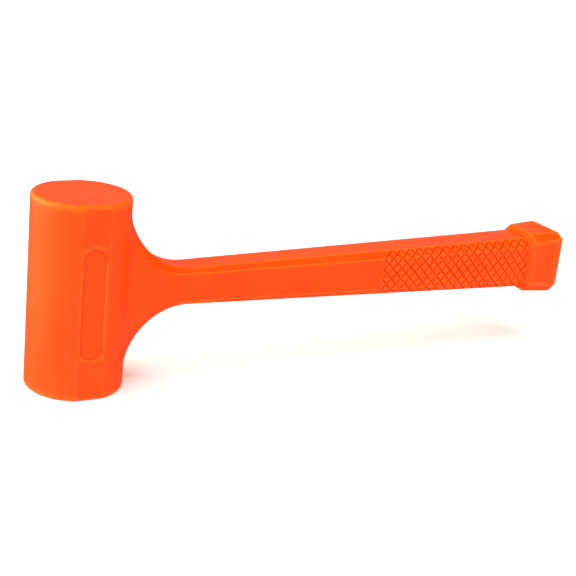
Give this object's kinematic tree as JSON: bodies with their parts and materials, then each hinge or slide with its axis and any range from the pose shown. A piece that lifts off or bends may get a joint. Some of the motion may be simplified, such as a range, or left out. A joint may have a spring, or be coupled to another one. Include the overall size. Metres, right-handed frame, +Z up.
{
  "type": "dead blow mallet",
  "caption": "One-piece moulded soft-face dead blow mallet with a cylindrical head, swept web, tapered eight-sided handle, diamond knurled grip and flared butt.",
  "frame": {"origin": "centre of the lower striking face, on the head's axis", "axes": "+Z up the head's axis to the upper striking face, +X along the handle to the butt, +Y to the mallet's far side"},
  "size_m": [0.3717, 0.0558, 0.117],
  "materials": {
    "orange_moulding": "semi-gloss moulded urethane, bright orange",
    "canister_steel": "drawn mild steel tube, dull with fine draw lines",
    "rod_steel": "hot rolled mild steel bar with dark scale",
    "weld_metal": "rippled weld bead with heat tint",
    "shot_steel": "smooth steel balls, lightly tumbled"
  },
  "bodies": {
    "mallet": {"moulded_jacket": "orange_moulding", "canister_tube": "canister_steel", "canister_lower_cap": "canister_steel", "canister_upper_cap": "canister_steel", "lower_cap_weld_bead": "weld_metal", "upper_cap_weld_bead": "weld_metal", "handle_rod": "rod_steel", "rod_weld_bead": "weld_metal"},
    "shot": {"shot_layer_01": "shot_steel", "shot_layer_02": "shot_steel", "shot_layer_03": "shot_steel", "shot_layer_04": "shot_steel", "shot_layer_05": "shot_steel", "shot_layer_06": "shot_steel", "shot_layer_07": "shot_steel", "shot_layer_08": "shot_steel", "shot_layer_09": "shot_steel", "shot_layer_10": "shot_steel", "shot_layer_11": "shot_steel", "shot_layer_12": "shot_steel", "shot_layer_13": "shot_steel"}
  },
  "joints": [
    {"name": "shot_slide", "type": "slide", "parent": "mallet", "child": "shot", "axis": [0, 0, 1], "range_m": [0, 0.0147]}
  ]
}
